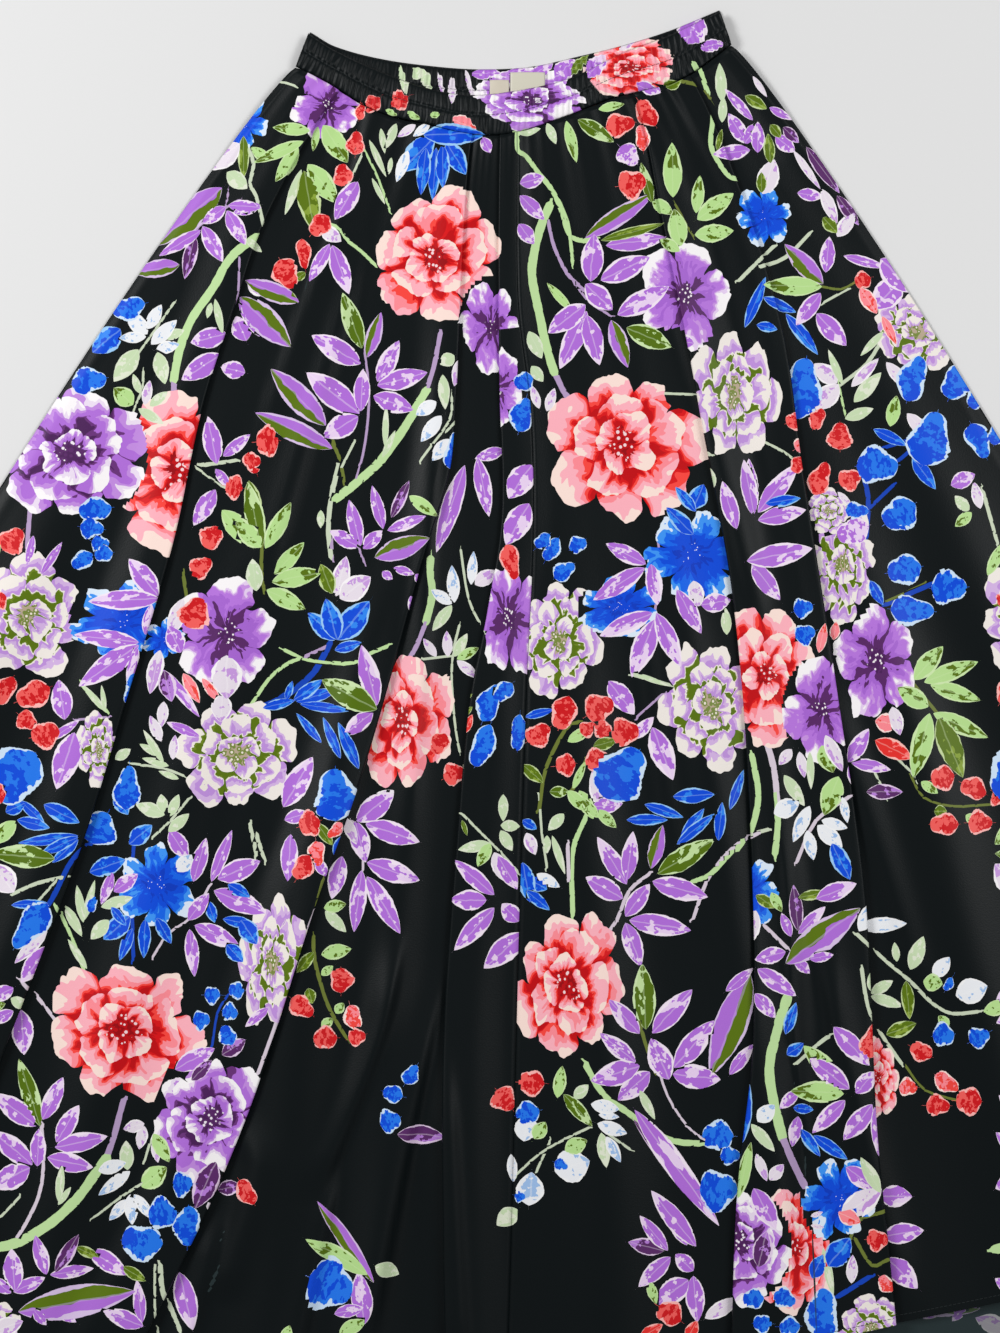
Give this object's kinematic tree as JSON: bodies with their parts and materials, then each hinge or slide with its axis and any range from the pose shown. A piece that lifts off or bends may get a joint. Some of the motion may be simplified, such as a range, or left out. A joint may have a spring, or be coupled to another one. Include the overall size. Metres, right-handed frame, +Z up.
{
  "type": "floral maxi skirt with an elastic waist, laid flat",
  "caption": "Long flared floral skirt with a ruched elastic waist, laid flat on its back with its folds radiating from waist to hem.",
  "frame": {"origin": "on the surface it lies on, under the middle of its outline", "axes": "+Y from hem to waist, +X to the right seen from above with the front up, +Z up out of the surface"},
  "size_m": [1.4206, 1.1015, 0.0166],
  "materials": {
    "printed_crepe": "matte woven crepe, near-black ground with a coral, violet, blue and green flower print",
    "ruched_crepe": "the same crepe ruched over flat elastic",
    "label_satin": "woven cream satin ribbon"
  },
  "bodies": {
    "root": {"front_left": "printed_crepe", "front_right": "printed_crepe", "back_left": "printed_crepe", "back_right": "printed_crepe", "waistband_front": "ruched_crepe", "waistband_back": "ruched_crepe", "woven_label": "label_satin", "care_label": "label_satin"}
  },
  "joints": []
}
